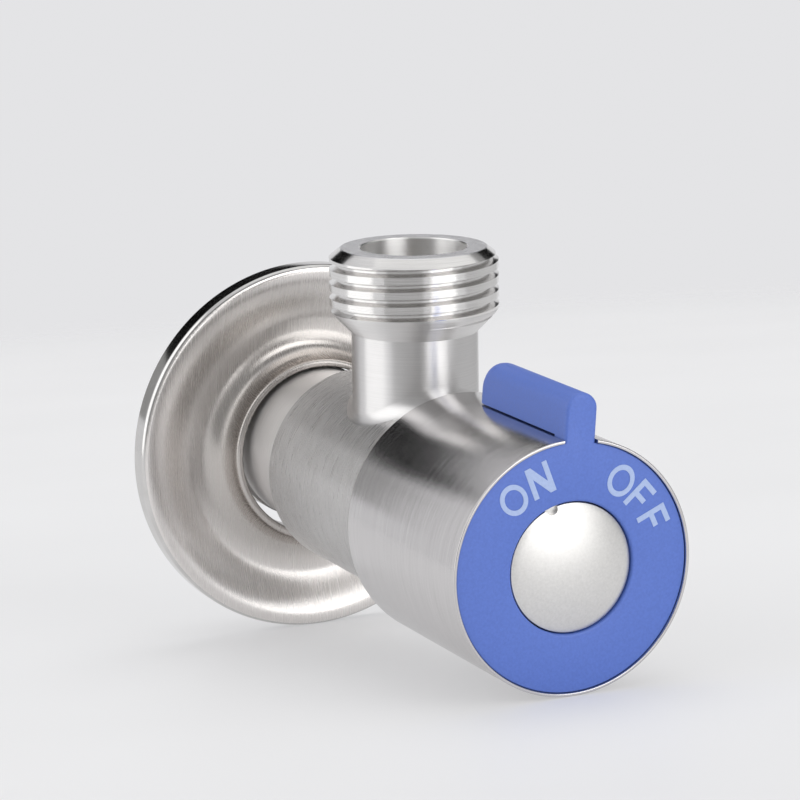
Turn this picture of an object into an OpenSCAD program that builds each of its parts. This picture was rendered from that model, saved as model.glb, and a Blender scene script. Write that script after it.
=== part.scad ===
// Quarter-turn angle valve for a basin or toilet feed.
// The origin is where the inlet's centre line meets the wall. +Y runs into the wall and +Z up the outlet.
// Turned pieces are drawn as (radius, y) profiles and spun about the Y axis.

/* [Body] */
// Distance from the wall to the outlet's centre line
outlet_to_wall = 35; // [32:0.5:45]
// Diameter of the barrel
barrel_d = 25.6; // [25:0.1:27]
// Length of the barrel in front of the outlet's centre line
barrel_front = 15; // [14.5:0.1:17]
// Length of the barrel behind the outlet's centre line
barrel_back = 17.6; // [12:0.1:20]
// Diameter of the plain shank between the barrel and the inlet thread
shank_d = 20.6; // [19:0.1:20.6]
// Edge chamfer at the barrel's back end
barrel_chamfer = 0.4; // [0.1:0.1:1]
// Bore from the inlet to the seat
inlet_bore_d = 13; // [10:0.1:14]
// Distance from the outlet's centre line back to the seat
seat_back = 9; // [8.6:0.1:12]
// Wall left between the cartridge's skirt and the chamber
chamber_gap = 0.35; // [0.2:0.05:0.6]

/* [Threads] */
// Major diameter of the inlet and outlet threads, G1/2
thread_d = 20.955; // [20.6:0.005:20.955]
// Pitch of the threads
thread_pitch = 1.814; // [1.6:0.001:2]
// Depth of the threads
thread_depth = 0.9; // [0.5:0.05:1.1]
// Width of a thread's crest
thread_crest = 0.8; // [0.4:0.05:1]
// Half the flat at the root between two crests
thread_root_half = 0.12; // [0.05:0.01:0.2]
// Chamfer where a thread starts and ends
thread_chamfer = 0.3; // [0.1:0.05:0.6]
// Number of crests on the outlet
outlet_crests = 5; // [4:1:6]
// Number of crests on the inlet
inlet_crests = 8; // [5:1:10]
// Distance from the last inlet crest to the inlet's end
inlet_lead = 1.1; // [0.8:0.1:2]

/* [Outlet] */
// Height of the outlet's end face above the inlet's centre line
outlet_h = 31.2; // [29:0.1:36]
// Diameter of the neck under the thread
neck_d = 15.7; // [15:0.1:17]
// Bore of the outlet
outlet_bore_d = 13.2; // [11.5:0.1:14]
// Depth of that bore from the end face
outlet_bore_l = 18.2; // [10:0.1:18.4]
// Hole that joins the bore to the chamber
outlet_port_d = 11; // [8:0.1:11]
// Distance from the first crest's middle to the end face
outlet_lead = 1.5; // [1.2:0.1:2.5]
// Outer diameter of the flat on the outlet's end face
outlet_flat_d = 18.1; // [16:0.1:19]
// Height of the cone that runs from the thread into the neck
neck_cone_h = 1; // [0.6:0.1:2]
// Radius of the rounded foot between the neck and the barrel
neck_fillet_r = 2.3; // [1:0.1:2.8]

/* [Wall flange] */
// Outer diameter of the flange at the wall
flange_d = 48.8; // [44:0.2:60]
// Height of the flange's rim above the wall
flange_rim_h = 3.1; // [2.4:0.1:4.5]
// Rounding of the rim's front edge
flange_rim_r = 0.8; // [0.8:0.1:1.2]
// Width of the dish's flat floor between the slope and the collar's foot
flange_floor_w = 1.1; // [0.5:0.1:3]
// Height of the dish's floor above the wall, measured on its front side
flange_floor_h = 0.8; // [0.75:0.05:1.2]
// Radius of the collar's foot
flange_foot_r = 3.4; // [1:0.1:3.6]
// Height of the collar's lip above the wall
flange_collar_h = 5.4; // [5:0.1:9]
// Width of the collar's rolled lip
flange_lip_w = 1; // [0.8:0.05:1.05]
// Height of the lip's hem in the bore, above the wall
flange_hem_h = 0.6; // [0.4:0.1:2]
// Radial play of the collar round the shank
flange_play = 0.85; // [0.3:0.05:1.2]
// Gap between the collar's bore and the top of the shank that it hangs on
flange_rest_gap = 0.3; // [0:0.05:0.3]
// Thickness of the flange's sheet
flange_t = 0.6; // [0.55:0.05:0.7]

/* [Handle] */
// Distance from the outlet's centre line to the front of the handle
handle_reach = 42.3; // [42:0.1:48]
// How far the sleeve stands out past the barrel
sleeve_stand = 2.4; // [2.2:0.1:4]
// Wall of the handle sleeve
sleeve_t = 0.4; // [0.3:0.05:0.8]
// Distance from the outlet's centre line to the sleeve's back end
sleeve_back = 12; // [12:0.1:14]
// Radius of the sleeve's shoulder
shoulder_r = 1; // [0.9:0.1:2.5]
// Break of the sleeve's front edges
sleeve_break = 0.12; // [0.05:0.01:0.15]
// Radial gap between the sleeve's back end and the barrel
shoulder_gap = 0.3; // [0.2:0.05:0.6]
// Height of the sleeve's rim above the indicator ring
rim_rise = 0.3; // [0:0.05:0.6]
// Lean of the lever from the outlet, left by the spindle's spline
lever_lean = 4.5; // [-9:0.5:9]
// Turn of the handle from open to shut
quarter_turn = 90; // [80:1:95]

/* [Indicator ring and lever] */
// Thickness of the indicator ring
ring_t = 2.6; // [2:0.1:3.5]
// Hole of the indicator ring
ring_hole_d = 15.7; // [14:0.1:17]
// Thickness of the lever
lever_t = 4; // [3.9:0.1:5]
// Height of the lever's top above the sleeve
lever_rise = 5.25; // [4:0.05:8]
// Length of the lever from the handle's front face
lever_l = 23.1; // [16:0.1:25]
// Rounding of the lever's long edges
lever_edge_r = 1.9; // [0.5:0.1:1.9]
// Rounding of the lever's back top corner
lever_corner_r = 3.6; // [1:0.1:4]
// Gap between the lever's underside and the sleeve
lever_lift = 0.2; // [0.1:0.05:0.3]
// Gap between the lever and the sleeve's notch, on each side
notch_gap = 0.12; // [0.1:0.01:0.4]
// Depth of the sleeve's notch
notch_depth = 3.2; // [2.8:0.1:5]
// Number of pegs on the back of the indicator ring
peg_count = 3; // [2:1:6]
// Diameter of a peg
peg_d = 2.4; // [1.5:0.1:3]
// Length of a peg
peg_l = 2.2; // [1:0.1:2.8]

/* [Centre cap] */
// Depth of the cap's edge below the indicator ring's face
cap_inset = 0.05; // [0:0.05:1]
// Height of the cap's dome
cap_dome = 1.2; // [0.8:0.1:2.5]
// Thickness of the cap's sheet
cap_t = 0.5; // [0.3:0.05:0.7]
// Radius of the notch for prising the cap out
cap_notch_r = 0.8; // [0.5:0.1:1.2]
// Depth of that notch below the cap's edge
cap_notch_depth = 0.35; // [0.2:0.05:0.5]
// Place of that notch, anticlockwise from the lever
cap_notch_angle = 23; // [0:1:90]

/* [Handle core] */
// Length of the core
core_l = 17; // [16:0.1:17.5]
// Wall of the core's shell
core_wall = 1.2; // [0.8:0.1:2]
// Thickness of the core's front plate
core_plate = 3; // [2.6:0.1:4]
// Diameter of the core's hub
hub_d = 13.6; // [12:0.1:15]
// Number of ribs between the hub and the shell
rib_count = 6; // [3:1:8]
// Thickness of a rib
rib_t = 1.2; // [0.8:0.1:2]
// Depth of the recess for the screw's head
head_recess = 2; // [1.5:0.1:2.2]
// Diameter of the recess for the screw's head
head_recess_d = 10; // [9.2:0.1:11]

/* [Handle screw] */
// Thread diameter of the handle screw
screw_d = 4; // [3:0.5:4]
// Length of the screw under its head
screw_l = 10; // [8:0.5:11]
// Diameter of the screw's head
screw_head_d = 7.4; // [7:0.1:8.5]
// Height of the screw's head
screw_head_h = 2.2; // [1.5:0.1:2.2]
// Rounding of the screw's head
screw_head_r = 0.8; // [0.3:0.1:1.2]
// Span of the cross in the screw's head
cross_span = 4.2; // [3:0.1:5]
// Width of a slot of the cross
cross_w = 0.9; // [0.6:0.1:1.2]
// Depth of the cross
cross_depth = 1.3; // [0.8:0.1:1.4]
// Thickness of the washer under the head
washer_t = 0.6; // [0.4:0.1:0.8]
// Outer diameter of the washer
washer_d = 8.8; // [8.6:0.1:9]

/* [Spindle] */
// Diameter of the spindle's stem
stem_d = 8.6; // [8.4:0.1:9]
// Outer diameter of the spline
spline_d = 8; // [7.6:0.1:8.2]
// Depth of the spline's teeth
spline_depth = 0.45; // [0.3:0.05:0.6]
// Number of teeth on the spline
spline_teeth = 20; // [12:1:24]
// Length of the spline
spline_l = 9; // [7:0.1:9.5]
// Diameter of the spindle's inner head
spindle_head_d = 14.4; // [13:0.1:15.6]
// Thickness of the spindle's inner head
spindle_head_t = 2; // [1.5:0.1:2.5]
// Width of a drive prong
prong_w = 3; // [2:0.1:4]
// Section of the spindle's seal rings
spindle_seal_d = 1.33; // [1.1:0.01:1.5]
// Spacing of the two seal rings on the stem
seal_pitch = 4; // [3:0.1:4.6]
// Width of the groove for a seal ring
seal_groove_w = 1.8; // [1.6:0.1:2.2]

/* [Cartridge] */
// Outer diameter of the cartridge's threaded part
cartridge_thread_d = 19.8; // [19.4:0.1:20]
// Outer diameter of the cartridge's skirt
skirt_d = 17.9; // [17.6:0.1:18.2]
// Bore of the skirt, which holds the discs
skirt_bore_d = 16; // [15.6:0.1:16.2]
// Width across the flats of the cartridge's hexagon
hex_af = 22; // [20:0.5:24]
// Thickness of the hexagon
hex_t = 4; // [3:0.1:4.5]
// Length of the nose in front of the hexagon
nose_l = 5; // [4:0.1:5.2]
// Diameter of the nose
nose_d = 12.6; // [11.8:0.1:14]
// Length of a side window
window_l = 5.4; // [4:0.1:5.6]
// Width of a side window
window_w = 11; // [8:0.1:12]
// Thickness of each ceramic disc
disc_t = 3; // [2.5:0.1:3.2]
// Opening angle of a port in a ceramic disc
port_angle = 80; // [60:1:84]
// Inner radius of a port
port_inner_r = 1.6; // [1:0.1:2.5]
// Outer radius of a port
port_outer_r = 6; // [5:0.1:6.4]
// Depth of the drive slot in the moving disc
drive_slot = 1.3; // [1:0.1:1.8]
// Thickness of the seat seal
seat_seal_t = 2.4; // [2:0.1:3]
// How far the seat seal stands out of the cartridge
seat_seal_proud = 0.7; // [0.3:0.1:1]
// Thickness of the thrust washer
thrust_t = 0.7; // [0.5:0.1:1]
// Section of the seal ring under the hexagon
housing_seal_d = 1.2; // [1:0.1:1.5]

/* [Stop and clip] */
// Thickness of the stop washer
stop_t = 0.9; // [0.6:0.05:1.2]
// Width of the stop washer's tab
tab_w = 2; // [1.4:0.1:2.6]
// Width across the stem's flats under the stop washer
stem_flats = 7.2; // [6.8:0.1:7.6]
// Thickness of the snap ring
clip_t = 0.8; // [0.6:0.05:1]
// Outer diameter of the snap ring
clip_d = 10.8; // [10:0.1:12]

/* [Fits] */
// Radial clearance of a running fit
run_gap = 0.05; // [0.02:0.01:0.08]
// Gap between pieces that slip together and stay together
slip_gap = 0.02; // [0:0.01:0.05]

/* [Hidden] */
$fn = 64;
eps = 0.01;
fillet_sink = 0.03;

steel = "#b9b7b4";
blue = "#5c78cd";
brass = "#c8a34e";
ceramic = "#efebe2";
rubber = "#2c2c2e";
acetal = "#e9e4d2";
core_grey = "#6f7377";

// Places along Y, from the wall towards the front
axis_y = -outlet_to_wall;
barrel_back_y = axis_y + barrel_back;
barrel_front_y = axis_y - barrel_front;
seat_y = axis_y + seat_back;
housing_end_y = seat_y - seat_seal_proud;
fixed_disc_y = seat_y - seat_seal_t - disc_t;
drive_disc_y = fixed_disc_y - disc_t;
window_y = drive_disc_y - 0.5 - window_l;
head_y = window_y - 0.7 - spindle_head_t;
shoulder_y = head_y - thrust_t;
hex_y = barrel_front_y - hex_t;
nose_y = hex_y - nose_l;
stop_y = nose_y - 0.1 - stop_t;
clip_y = stop_y - 0.05 - clip_t;
spline_y = clip_y - 0.3 - spline_l;
handle_y = axis_y - handle_reach;
ring_y = handle_y + rim_rise;
core_y = ring_y + ring_t;
sleeve_back_y = axis_y - sleeve_back;
recess_y = core_y + head_recess;
inlet_first_y = 0;
inlet_end_y = inlet_first_y + (inlet_crests - 1) * thread_pitch + inlet_lead;

// Radii
thread_r = thread_d / 2;
thread_root_r = thread_r - thread_depth;
flange_bore_r = shank_d / 2 + flange_play;
collar_r = flange_bore_r + flange_lip_w;
flange_drop = flange_play - flange_rest_gap;
flange_slope_w = flange_d / 2 - flange_rim_r - flange_floor_w - collar_r - flange_foot_r;
sleeve_r = barrel_d / 2 + sleeve_stand;
lever_top = sleeve_r + lever_rise;
sleeve_in_r = sleeve_r - sleeve_t;
ring_r = sleeve_in_r - run_gap;
stem_r = stem_d / 2;
stem_bore_r = stem_r + run_gap;
groove_r = stem_bore_r - slip_gap - spindle_seal_d;
skirt_bore_r = skirt_bore_d / 2;
disc_r = skirt_bore_r - run_gap;
chamber_r = skirt_d / 2 + chamber_gap;
cartridge_bore_r = cartridge_thread_d / 2 + slip_gap;
mouth_r = cartridge_thread_d / 2 + housing_seal_d + slip_gap;
stop_in_r = nose_d / 2 - 1;
stop_free = asin(tab_w / 2 / stop_in_r) + 0.5;
prong_out_r = disc_r - 0.9;
prong_in_r = 3.4;
cap_r = ring_hole_d / 2 - 0.15;
peg_r = (ring_r + ring_hole_d / 2) / 2;
seal_y = hex_y + hex_t / 2;
outlet_first_z = outlet_h - outlet_lead;
bore_floor_z = outlet_h - outlet_bore_l;
outlet_last_z = outlet_first_z - (outlet_crests - 1) * thread_pitch;
neck_top_z = outlet_last_z - thread_pitch / 2 - neck_cone_h;

// Spins a (radius, y) profile about the Y axis
module turned() {
  rotate([-90, 0, 0]) rotate_extrude($fn = 96) children();
}

// Solid rod along Y from one place to another
module rod(from_y, to_y, r) {
  translate([0, from_y, 0]) rotate([-90, 0, 0]) cylinder(h = to_y - from_y, r = r, $fn = 96);
}

// Extrudes an outline drawn in the X-Z plane along Y
module along_y(from_y, to_y) {
  translate([0, to_y, 0]) rotate([90, 0, 0]) linear_extrude(to_y - from_y) children();
}

// Turns what rides on the handle to the lever's lean
module leaned() {
  rotate([0, lever_lean, 0]) children();
}

// Points of an arc about a centre, between two angles
function arc(c, r, from, to, steps) =
  [for (i = [0:steps]) c + r * [cos(from + (to - from) * i / steps), sin(from + (to - from) * i / steps)]];

// Radius and height points of thread crests, each with straight flanks down to the root
function crest_points(first, count) =
  [for (i = [0:count - 1]) let (mid = first + i * thread_pitch) each [
    [thread_root_r, mid - thread_pitch / 2 + thread_root_half],
    [thread_r, mid - thread_crest / 2],
    [thread_r, mid + thread_crest / 2],
    [thread_root_r, mid + thread_pitch / 2 - thread_root_half]]];

// Outline of a toothed shaft, with flat tips and roots
function spline_points(tip_r, root_r, teeth) =
  [for (i = [0:teeth - 1]) each [
    root_r * [cos(360 / teeth * (i - 0.28)), sin(360 / teeth * (i - 0.28))],
    tip_r * [cos(360 / teeth * (i - 0.16)), sin(360 / teeth * (i - 0.16))],
    tip_r * [cos(360 / teeth * (i + 0.16)), sin(360 / teeth * (i + 0.16))],
    root_r * [cos(360 / teeth * (i + 0.28)), sin(360 / teeth * (i + 0.28))]]];

// Two opposite ring segments, centred on the X axis, for ports and prongs
module twin_sectors(inner_r, outer_r, angle) {
  reach = outer_r * 2;
  difference() {
    circle(r = outer_r);
    circle(r = inner_r);
    for (side = [0, 180]) rotate(side)
      polygon([[0, 0], reach * [cos(angle / 2), sin(angle / 2)], [0, reach],
        reach * [-cos(angle / 2), sin(angle / 2)]]);
  }
}

module torus(centre_r, section_d, y) {
  turned() translate([centre_r, y]) circle(d = section_d, $fn = 24);
}

// Barrel, shank and inlet thread, turned about the inlet's centre line
module inlet_form() {
  turned() polygon(concat(
    [[0, barrel_front_y], [barrel_d / 2, barrel_front_y],
      [barrel_d / 2, barrel_back_y - barrel_chamfer], [barrel_d / 2 - barrel_chamfer, barrel_back_y],
      [shank_d / 2, barrel_back_y], [shank_d / 2, inlet_first_y - thread_pitch],
      [thread_root_r, inlet_first_y - thread_pitch + thread_chamfer]],
    crest_points(inlet_first_y, inlet_crests),
    [[thread_root_r, inlet_end_y - thread_chamfer], [thread_root_r - thread_chamfer, inlet_end_y],
      [0, inlet_end_y]]));
}

// Neck and outlet thread, turned about the outlet's centre line
module outlet_form() {
  crests = crest_points(outlet_last_z, outlet_crests);
  translate([0, axis_y, 0]) rotate_extrude($fn = 96) polygon(concat(
    [[0, 0], [neck_d / 2, 0], [neck_d / 2, neck_top_z], [thread_root_r, neck_top_z + neck_cone_h]],
    [for (i = [0:len(crests) - 2]) crests[i]],
    [[outlet_flat_d / 2, outlet_h], [0, outlet_h]]));
}

// Rounded foot of the neck, as a ball would leave it that rolls along the barrel and the neck
module neck_foot() {
  sides = 48;
  steps = 6;
  corners = steps + 2;
  from_neck = neck_d / 2 + neck_fillet_r;
  from_barrel = barrel_d / 2 + neck_fillet_r;
  points = [for (i = [0:sides - 1]) let (
      turn = 360 / sides * i,
      x = from_neck * cos(turn),
      y = from_neck * sin(turn),
      mid = [x, y, sqrt(from_barrel * from_barrel - x * x)],
      to_neck = [-cos(turn), -sin(turn), 0],
      to_barrel = [-x, 0, -mid[2]] / from_barrel,
      spread = acos(to_neck * to_barrel))
    each concat(
      [for (j = [0:steps]) mid + (neck_fillet_r + fillet_sink) / sin(spread)
        * (sin(spread * (1 - j / steps)) * to_neck + sin(spread * j / steps) * to_barrel)],
      [mid + (neck_fillet_r + 1) * (to_neck + to_barrel)])];
  faces = [for (i = [0:sides - 1]) for (j = [0:corners - 1]) let (
      a = i * corners + j,
      b = i * corners + (j + 1) % corners,
      c = ((i + 1) % sides) * corners + (j + 1) % corners,
      d = ((i + 1) % sides) * corners + j)
    each [[a, c, b], [a, d, c]]];
  translate([0, axis_y, 0]) polyhedron(points, faces);
}

module valve_body() {
  color(steel) difference() {
    union() {
      inlet_form();
      outlet_form();
      neck_foot();
    }
    rod(seat_y - eps, inlet_end_y + 1, inlet_bore_d / 2);
    rod(shoulder_y, seat_y, chamber_r);
    rod(barrel_front_y - 1, shoulder_y + eps, cartridge_bore_r);
    rod(barrel_front_y - 1, barrel_front_y + housing_seal_d, mouth_r);
    // Outlet's bore, which narrows to the hole into the chamber
    translate([0, axis_y, 0]) rotate_extrude($fn = 96) polygon([
      [0, 0], [outlet_port_d / 2, 0], [outlet_port_d / 2, bore_floor_z - (outlet_bore_d - outlet_port_d) / 2],
      [outlet_bore_d / 2, bore_floor_z], [outlet_bore_d / 2, outlet_h + 1], [0, outlet_h + 1]]);
  }
}

// Front of the flange's slope between the rim and the floor, as (radius, height above the wall)
function slope_front() =
  [for (i = [0:10]) [flange_d / 2 - flange_rim_r - flange_slope_w * i / 10,
    flange_floor_h + (flange_rim_h - flange_floor_h) * (1 + cos(18 * i)) / 2]];

// The same line moved through the sheet to its back
function moved_back(line, by) =
  [for (i = [len(line) - 1:-1:0]) let (
      from = line[max(i - 1, 0)],
      to = line[min(i + 1, len(line) - 1)],
      way = (to - from) / norm(to - from))
    line[i] + by * [-way[1], way[0]]];

// Section of the flange's sheet: front side from the wall to the lip, then back along the other side
function flange_section() =
  let (rim_mid = [flange_d / 2 - flange_rim_r, flange_rim_h - flange_rim_r],
    foot_mid = [collar_r + flange_foot_r, flange_floor_h + flange_foot_r],
    lip_r = flange_lip_w / 2,
    hem_turn = 180 + acos((flange_foot_r + flange_lip_w - flange_t) / (flange_foot_r + flange_t)))
  concat(
    [[flange_d / 2, 0]],
    arc(rim_mid, flange_rim_r, 0, 80, 5),
    slope_front(),
    arc(foot_mid, flange_foot_r, 270, 180, 6),
    arc([collar_r - lip_r, flange_collar_h - lip_r], lip_r, 0, 180, 8),
    [[flange_bore_r, flange_hem_h], [flange_bore_r + flange_t, flange_hem_h]],
    arc(foot_mid, flange_foot_r + flange_t, hem_turn, 270, 6),
    moved_back(slope_front(), flange_t),
    arc(rim_mid, flange_rim_r - flange_t, 80, 0, 3),
    [[flange_d / 2 - flange_t, 0]]);

module wall_flange() {
  color(steel) translate([0, 0, -flange_drop]) turned()
    polygon([for (p = flange_section()) [p[0], -p[1]]]);
}

// Brass cartridge body with its hexagon, side windows and nose
module cartridge_housing() {
  color(brass) difference() {
    union() {
      rod(barrel_front_y - eps, shoulder_y, cartridge_thread_d / 2);
      rod(shoulder_y - 1, housing_end_y, skirt_d / 2);
      along_y(hex_y, barrel_front_y) rotate(30) circle(d = hex_af / cos(30), $fn = 6);
      rod(nose_y, hex_y + eps, nose_d / 2);
      // Raised stop on the nose, open where the stop washer's tab swings
      along_y(nose_y - stop_t, nose_y + eps) difference() {
        circle(d = nose_d);
        circle(r = stop_in_r);
        polygon([[0, 0], nose_d * [cos(-stop_free), sin(-stop_free)], [nose_d, nose_d],
          nose_d * [cos(quarter_turn + stop_free), sin(quarter_turn + stop_free)]]);
      }
    }
    rod(nose_y - 1 - stop_t, shoulder_y + eps, stem_bore_r);
    rod(shoulder_y, housing_end_y + 1, skirt_bore_r);
    for (side = [0, 180]) rotate([0, side, 0])
      translate([-window_w / 2, window_y, 0]) cube([window_w, window_l, skirt_d]);
    for (side = [-1, 1]) translate([side * skirt_bore_r - 1.5, fixed_disc_y, -1.25 - slip_gap])
      cube([3, disc_t + seat_seal_t + 1, 2.5 + 2 * slip_gap]);
  }
}

module housing_seal() {
  color(rubber) torus(cartridge_thread_d / 2 + housing_seal_d / 2 + slip_gap / 2, housing_seal_d,
    barrel_front_y + housing_seal_d / 2);
}

module spindle() {
  color(brass) difference() {
    union() {
      along_y(spline_y, spline_y + spline_l + eps)
        polygon(spline_points(spline_d / 2, spline_d / 2 - spline_depth, spline_teeth));
      difference() {
        rod(spline_y + spline_l, head_y + eps, stem_r);
        // Flats under the stop washer
        for (side = [-1, 1]) translate([side * (stem_flats / 2 + 2) - 2, spline_y + spline_l - 1, -stem_d / 2])
          cube([4, nose_y + 0.1 - spline_y - spline_l + 1, stem_d]);
      }
      rod(head_y, head_y + spindle_head_t, spindle_head_d / 2);
      // Prongs that reach past the windows and turn the moving disc
      along_y(head_y + spindle_head_t - eps, drive_disc_y + drive_slot - 0.1) intersection() {
        difference() {
          circle(r = prong_out_r);
          circle(r = prong_in_r);
        }
        square([prong_w, 4 * prong_out_r], center = true);
      }
    }
    // Grooves for the two seal rings and the snap ring
    for (y = [seal_y - seal_pitch / 2, seal_y + seal_pitch / 2]) turned()
      translate([groove_r, y - seal_groove_w / 2]) square([stem_r, seal_groove_w]);
    turned() translate([stem_r - 0.9, clip_y - 0.03]) square([stem_r, clip_t + 0.06]);
    // Tapped hole for the handle screw
    rod(spline_y - 1, spline_y + screw_l, screw_d / 2 + slip_gap);
  }
}

module stem_seal(y) {
  color(rubber) torus(groove_r + spindle_seal_d / 2, spindle_seal_d, y);
}

module front_seal() {
  stem_seal(seal_y - seal_pitch / 2);
}

module rear_seal() {
  stem_seal(seal_y + seal_pitch / 2);
}

module thrust_washer() {
  color(acetal) difference() {
    rod(shoulder_y, head_y, skirt_bore_r - 0.1);
    rod(shoulder_y - 1, head_y + 1, stem_bore_r + run_gap);
  }
}

// Washer keyed on the stem's flats; its tab meets the nose's lug at each end of the turn
module stop_washer() {
  color(brass) along_y(stop_y, stop_y + stop_t) difference() {
    union() {
      circle(r = stop_in_r - 0.2);
      rotate(quarter_turn - 90) translate([0, nose_d / 4]) square([tab_w, nose_d / 2], center = true);
    }
    intersection() {
      circle(r = stem_r + slip_gap);
      square([stem_flats + 2 * slip_gap, stem_d * 2], center = true);
    }
  }
}

module snap_ring() {
  color(steel) along_y(clip_y, clip_y + clip_t) difference() {
    circle(d = clip_d);
    circle(r = stem_r - 0.9 + slip_gap);
    translate([-1.6, 0]) square([3.2, clip_d]);
  }
}

module drive_disc() {
  color(ceramic) difference() {
    along_y(drive_disc_y, drive_disc_y + disc_t) difference() {
      circle(r = disc_r);
      twin_sectors(port_inner_r, port_outer_r, port_angle);
    }
    along_y(drive_disc_y - 1, drive_disc_y + drive_slot)
      square([prong_w + 2 * run_gap, 2 * disc_r + 1], center = true);
  }
}

module fixed_disc() {
  color(ceramic) along_y(fixed_disc_y, fixed_disc_y + disc_t) difference() {
    union() {
      circle(r = disc_r);
      square([2 * skirt_bore_r + 1.6, 2.5], center = true);
    }
    twin_sectors(port_inner_r, port_outer_r, port_angle);
  }
}

module seat_seal() {
  color(rubber) difference() {
    rod(seat_y - seat_seal_t, seat_y, skirt_bore_r - slip_gap);
    rod(seat_y - seat_seal_t - 1, seat_y + 1, inlet_bore_d / 2);
  }
}

// Moulded core that fills the sleeve and grips the spindle's spline
module handle_core() {
  color(core_grey) leaned() difference() {
    union() {
      rod(core_y, core_y + core_plate, ring_r);
      rod(core_y, clip_y - 0.3, hub_d / 2);
      difference() {
        rod(core_y, core_y + core_l, ring_r);
        rod(core_y - 1, core_y + core_l + 1, ring_r - core_wall);
      }
      for (i = [0:rib_count - 1]) rotate([0, 360 / rib_count * (i + 0.5), 0])
        translate([hub_d / 2 - 0.5, core_y, -rib_t / 2])
          cube([ring_r - core_wall - hub_d / 2 + 1, core_l - 4, rib_t]);
    }
    rod(core_y - 1, recess_y, head_recess_d / 2);
    rod(recess_y - 1, spline_y + 1, screw_d / 2 + 0.2);
    along_y(spline_y, clip_y) rotate(lever_lean)
      polygon(spline_points(spline_d / 2 + run_gap, spline_d / 2 - spline_depth + run_gap, spline_teeth));
    for (i = [0:peg_count - 1]) rotate([0, 360 / peg_count * i + 180, 0])
      translate([0, 0, peg_r]) rod(core_y - 1, core_y + core_plate + 1, peg_d / 2 + slip_gap);
  }
}

// Thin drawn sleeve with a rolled-in back shoulder and a notch for the lever
module handle_sleeve() {
  shoulder_in_r = barrel_d / 2 + shoulder_gap;
  color(steel) leaned() difference() {
    turned() polygon(concat(
      [[sleeve_in_r, handle_y + sleeve_break], [sleeve_in_r + sleeve_break, handle_y],
        [sleeve_r - sleeve_break, handle_y], [sleeve_r, handle_y + sleeve_break]],
      arc([sleeve_r - shoulder_r, sleeve_back_y - shoulder_r], shoulder_r, 0, 90, 6),
      [[shoulder_in_r, sleeve_back_y], [shoulder_in_r, sleeve_back_y - sleeve_t]],
      arc([sleeve_r - shoulder_r, sleeve_back_y - shoulder_r], shoulder_r - sleeve_t, 90, 0, 6)));
    translate([-lever_t / 2 - notch_gap, handle_y - 1, sleeve_in_r - 2])
      cube([lever_t + 2 * notch_gap, notch_depth + 1, sleeve_t + 4]);
  }
}

// Side view of the lever as (y, z), with a round back corner
module lever_side() {
  back_y = handle_y + rim_rise + lever_l;
  union() {
    translate([ring_y, 0]) square([lever_l - lever_corner_r, lever_top]);
    translate([ring_y, 0]) square([lever_l, lever_top - lever_corner_r]);
    translate([back_y - lever_corner_r, lever_top - lever_corner_r]) circle(r = lever_corner_r);
  }
}

// End view of the lever as (x, z), with round long edges
module lever_end() {
  union() {
    translate([-lever_t / 2, 0]) square([lever_t, lever_top - lever_edge_r]);
    translate([-lever_t / 2 + lever_edge_r, 0]) square([lever_t - 2 * lever_edge_r, lever_top]);
    for (side = [-1, 1]) translate([side * (lever_t / 2 - lever_edge_r), lever_top - lever_edge_r])
      circle(r = lever_edge_r);
  }
}

module indicator_ring() {
  color(blue) leaned() {
    difference() {
      union() {
        rod(ring_y, core_y, ring_r);
        // Lever, which passes through the notch and runs back over the sleeve
        difference() {
          intersection() {
            along_y(ring_y, ring_y + lever_l) lever_end();
            rotate([90, 0, 90]) translate([0, 0, -lever_t]) linear_extrude(2 * lever_t) lever_side();
          }
          rod(core_y, ring_y + lever_l + 1, sleeve_r + lever_lift);
          rod(ring_y - 1, core_y + 1, ring_r - 1);
        }
      }
      rod(ring_y - 1, core_y + 1, ring_hole_d / 2);
    }
    for (i = [0:peg_count - 1]) rotate([0, 360 / peg_count * i + 180, 0])
      translate([0, 0, peg_r]) rod(core_y - eps, core_y + peg_l, peg_d / 2);
  }
}

// Domed cap with a short skirt that stands on the core
module centre_cap() {
  edge_y = ring_y + cap_inset;
  dome_r = (cap_r * cap_r + cap_dome * cap_dome) / (2 * cap_dome);
  dome_angle = asin(cap_r / dome_r);
  color(steel) leaned() difference() {
    union() {
      turned() polygon(concat(
        arc([0, edge_y - cap_dome + dome_r], dome_r, 270, 270 + dome_angle, 10),
        [[cap_r, core_y], [cap_r - cap_t, core_y]],
        arc([0, edge_y - cap_dome + dome_r], dome_r - cap_t, 270 + dome_angle * 0.93, 270, 10)));
      // Floor of the notch
      intersection() {
        rod(edge_y, edge_y + cap_notch_depth + cap_t, cap_r - cap_t / 2);
        rotate([0, -cap_notch_angle, 0]) translate([0, 0, cap_r]) rod(edge_y - 1, core_y, cap_notch_r + cap_t);
      }
    }
    rotate([0, -cap_notch_angle, 0]) translate([0, 0, cap_r])
      rod(edge_y - cap_dome, edge_y + cap_notch_depth, cap_notch_r);
  }
}

module handle_screw() {
  head_back_y = recess_y - washer_t;
  head_front_y = head_back_y - screw_head_h;
  color(steel) difference() {
    union() {
      rod(head_back_y - eps, head_back_y + screw_l, screw_d / 2);
      turned() polygon(concat([[0, head_back_y]],
        [[screw_head_d / 2, head_back_y]],
        arc([screw_head_d / 2 - screw_head_r, head_front_y + screw_head_r], screw_head_r, 0, -90, 4),
        [[0, head_front_y]]));
    }
    // Cross recess
    for (turn = [0, 90]) rotate([0, turn, 0])
      translate([-cross_span / 2, head_front_y - 1, -cross_w / 2]) cube([cross_span, cross_depth + 1, cross_w]);
  }
}

module screw_washer() {
  color(steel) difference() {
    rod(recess_y - washer_t, recess_y, washer_d / 2);
    rod(recess_y - washer_t - 1, recess_y + 1, screw_d / 2 + 0.1);
  }
}

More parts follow.
